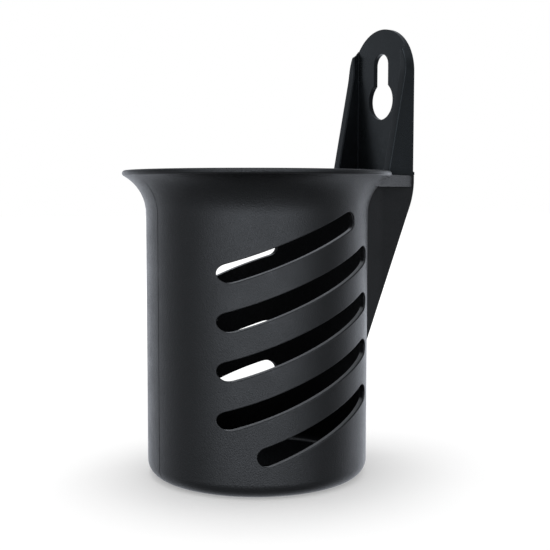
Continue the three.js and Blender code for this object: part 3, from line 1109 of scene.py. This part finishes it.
# How bright the studio looks when mirrored: degrees round from the camera, brightness
SURROUND = (
    (-180, 1.50), (-150, 1.25), (-125, 0.95), (-105, 0.55), (-85, 0.36), (-60, 0.46), (-35, 0.58),
    (0, 0.52),
    (35, 0.60), (60, 0.42), (85, 0.14), (105, 0.50), (125, 1.38), (150, 1.60), (180, 1.50),
)
# The same by height: the sine of the elevation, share of the brightness
BY_HEIGHT = (
    (-1.0, 0.35), (-0.7, 0.45), (-0.35, 0.75), (-0.12, 1.0), (0.02, 1.0), (0.08, 0.88),
    (0.2, 0.60), (0.4, 0.35), (0.6, 0.30), (0.8, 0.30), (1.0, 0.30),
)
# A glow round the camera: the angles, and the heights off its centre, where it starts to
# fade and is gone, and how much of it is missing in the middle, between two more angles
FRONT_GLOW = 2.75
FRONT_HALF_ANGLE = (math.radians(20), math.radians(60))
FRONT_CENTRE = -0.02
FRONT_HALF_HEIGHT = (0.06, 0.28)
FRONT_GAP_ANGLE = (math.radians(3), math.radians(16))
FRONT_GAP_DIP = 0.3
# A glow overhead: the heights where it starts and is full, and the same for its camera side
OVERHEAD_GLOW = 1.6
OVERHEAD_START = (0.4, 0.75)
OVERHEAD_SIDE = (-0.1, 0.5)
STUDIO_TINT = (0.94, 0.985, 1.08)
DOME_LIGHT = 0.80
# The lit floor: its glow in the middle and far away, and where that change lies, in metres
FLOOR_GLOW = (0.31, 0.62)
FLOOR_GLOW_SPAN = (0.12, 0.6)
FLOOR_SIZE = 8.0
FLOOR_TONES = ((0.65, 0.65, 0.65), (0.67, 0.67, 0.67))
LIGHT_AIM_HEIGHT = 0.06


def brightness_ramp(nodes, source, low, high, levels):
    """A smooth ramp through (value, level) pairs."""
    ramp = nodes.add("ShaderNodeValToRGB")
    ramp.color_ramp.interpolation = "B_SPLINE"
    stops = ramp.color_ramp.elements
    stops.remove(stops[1])
    first, last = levels[0][0], levels[-1][0]
    for value, level in levels:
        spot = (value - first) / (last - first)
        stop = stops.new(spot) if spot else stops[0]
        stop.color = (level / 2, level / 2, level / 2, 1.0)
    nodes.link(nodes.spread(source, low, high), ramp.inputs["Fac"])
    return nodes.times(ramp.outputs["Color"], 2.0)


def mirrored_level(nodes):
    """How bright the studio is in a mirrored direction."""
    direction = nodes.add("ShaderNodeTexCoord").outputs["Generated"]
    turn = nodes.add("ShaderNodeVectorRotate", rotation_type="Z_AXIS")
    turn.inputs["Angle"].default_value = math.radians(90 - CAMERA_AZIMUTH)
    nodes.link(direction, turn.inputs["Vector"])
    turned_to_camera = turn.outputs[0]
    round_angle = nodes.math("ARCTAN2", nodes.part(turned_to_camera, "Y"), nodes.part(turned_to_camera, "X"))
    height = nodes.part(turned_to_camera, "Z")
    level = nodes.times(
        brightness_ramp(nodes, round_angle, -math.pi, math.pi, SURROUND),
        brightness_ramp(nodes, height, -1.0, 1.0, BY_HEIGHT),
    )
    off_camera = nodes.math("ABSOLUTE", round_angle)
    lobe = nodes.spread(off_camera, *FRONT_HALF_ANGLE, 1.0, 0.0)
    gap = nodes.spread(off_camera, *FRONT_GAP_ANGLE, 1.0 - FRONT_GAP_DIP, 1.0)
    lobe = nodes.times(lobe, gap)
    off_height = nodes.math("ABSOLUTE", nodes.math("SUBTRACT", height, FRONT_CENTRE))
    lobe = nodes.times(lobe, nodes.spread(off_height, *FRONT_HALF_HEIGHT, 1.0, 0.0))
    level = nodes.math("ADD", level, nodes.times(lobe, FRONT_GLOW))
    near_side = nodes.spread(nodes.math("COSINE", round_angle), *OVERHEAD_SIDE, 0.0, OVERHEAD_GLOW)
    overhead = nodes.times(near_side, nodes.spread(height, *OVERHEAD_START))
    return nodes.math("ADD", level, overhead)


def add_world():
    """White to the camera, the studio where it is mirrored, and an even dome for the rest."""
    world = bpy.data.worlds.new("studio")
    bpy.context.scene.world = world
    nodes = node_tree(world)
    mirrored = nodes.background(STUDIO_TINT, mirrored_level(nodes))
    dome = nodes.background((1.0, 1.0, 1.0), DOME_LIGHT)
    backdrop = nodes.background((1.0, 1.0, 1.0))
    path = nodes.add("ShaderNodeLightPath")
    shown = nodes.choose(path.outputs["Is Glossy Ray"], dome, mirrored)
    shown = nodes.choose(path.outputs["Is Camera Ray"], shown, backdrop)
    output = nodes.add("ShaderNodeOutputWorld")
    nodes.link(shown, output.inputs["Surface"])


def add_floor():
    """A pale, softly lit floor that mirrors can't see."""
    bpy.ops.mesh.primitive_plane_add(size=FLOOR_SIZE, location=(0, 0, 0))
    floor = bpy.context.object
    floor.name = "studio_floor"
    material = bpy.data.materials.new("studio_floor")
    nodes = node_tree(material)
    place = nodes.add("ShaderNodeTexCoord").outputs["Object"]
    paint = nodes.add("ShaderNodeBsdfDiffuse")
    nodes.link(nodes.blend(nodes.noise(place, *FLOOR_NOISE), *FLOOR_TONES), paint.inputs["Color"])
    glow = nodes.add("ShaderNodeEmission")
    nodes.link(nodes.spread(nodes.length(place), *FLOOR_GLOW_SPAN, *FLOOR_GLOW), glow.inputs["Strength"])
    lit = nodes.add("ShaderNodeAddShader")
    nodes.link(paint.outputs[0], lit.inputs[0])
    nodes.link(glow.outputs[0], lit.inputs[1])
    clear = nodes.add("ShaderNodeBsdfTransparent").outputs[0]
    mirrored = nodes.add("ShaderNodeLightPath").outputs["Is Glossy Ray"]
    output = nodes.add("ShaderNodeOutputMaterial")
    nodes.link(nodes.choose(mirrored, lit.outputs[0], clear), output.inputs["Surface"])
    floor.data.materials.append(material)


def soft_box(name, azimuth, distance, height, size, power, mirrored):
    """A soft light at an azimuth in degrees, from the front towards +X, aimed at the cup."""
    light = bpy.data.lights.new(name, "AREA")
    light.shape = "RECTANGLE"
    light.size = size
    light.size_y = size
    light.energy = power
    obj = bpy.data.objects.new(name, light)
    angle = math.radians(azimuth)
    obj.location = (distance * math.sin(angle), -distance * math.cos(angle), height)
    aim = Vector((0, 0, LIGHT_AIM_HEIGHT)) - obj.location
    obj.rotation_euler = aim.to_track_quat("-Z", "Y").to_euler()
    obj.visible_glossy = mirrored
    bpy.context.scene.collection.objects.link(obj)


def add_camera():
    azimuth = math.radians(CAMERA_AZIMUTH + CAMERA_YAW)
    pitch = math.radians(CAMERA_PITCH)
    roll = math.radians(CAMERA_ROLL)
    reach = math.cos(pitch)
    ahead = Vector((-math.sin(azimuth) * reach, math.cos(azimuth) * reach, -math.sin(pitch)))
    level = ahead.cross(Vector((0, 0, 1))).normalized()
    upright = level.cross(ahead)
    right = level * math.cos(roll) + upright * math.sin(roll)
    up = upright * math.cos(roll) - level * math.sin(roll)
    data = bpy.data.cameras.new("main_camera")
    data.lens = CAMERA_LENS
    data.sensor_width = SENSOR
    data.clip_start = CLIP_START
    camera = bpy.data.objects.new("main_camera", data)
    turn = Matrix((right, up, -ahead)).transposed().to_4x4()
    camera.matrix_world = Matrix.Translation(Vector(CAMERA_AT) * MM) @ turn
    bpy.context.scene.collection.objects.link(camera)
    bpy.context.scene.camera = camera


# -------- build
def finish_piece(obj, node, material):
    obj.data.materials.clear()
    obj.data.materials.append(material)
    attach(obj, "root")
    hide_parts(node)


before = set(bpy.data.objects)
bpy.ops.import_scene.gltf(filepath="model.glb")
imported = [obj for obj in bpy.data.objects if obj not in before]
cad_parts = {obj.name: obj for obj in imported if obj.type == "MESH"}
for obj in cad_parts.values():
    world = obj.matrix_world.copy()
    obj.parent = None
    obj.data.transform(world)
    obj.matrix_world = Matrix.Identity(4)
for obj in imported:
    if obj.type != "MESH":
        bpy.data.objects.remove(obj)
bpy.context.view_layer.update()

cup_plastic = moulded_plastic(
    "cup_plastic",
    dark=(0.0014, 0.0016, 0.0018),
    light=(0.0023, 0.0025, 0.0029),
    rough=0.36,
    grain=1.4,
    tint=(0.98, 1.0, 1.0),
)
hanger_plastic = moulded_plastic(
    "hanger_plastic",
    dark=(0.0010, 0.0013, 0.0016),
    light=(0.0015, 0.0019, 0.0023),
    rough=0.34,
    grain=0.06,
    tint=(0.82, 0.92, 0.96),
)
screw_steel = plated_steel("screw_steel")

cup = join("cup_body_fine", [fine_cup(), shelf_and_webs()])
finish_piece(cup, "cup_body", cup_plastic)
finish_piece(fine_hanger(), "hanger_plate", hanger_plastic)
for side, node, turn in ((-1, "hanger_screw_left", 0.5), (1, "hanger_screw_right", -0.3)):
    screw = fine_screw(node + "_fine", side * SCREW_X, turn)
    finish_piece(screw, node, screw_steel)

add_world()
add_floor()
soft_box("floor_soft_box", CAMERA_AZIMUTH + 180, 0.12, height=1.2, size=0.45, power=5.6, mirrored=False)
soft_box("top_soft_box", CAMERA_AZIMUTH - 60, 0.15, height=1.3, size=0.5, power=0.6, mirrored=True)
add_camera()
bpy.context.scene.view_settings.view_transform = "Standard"
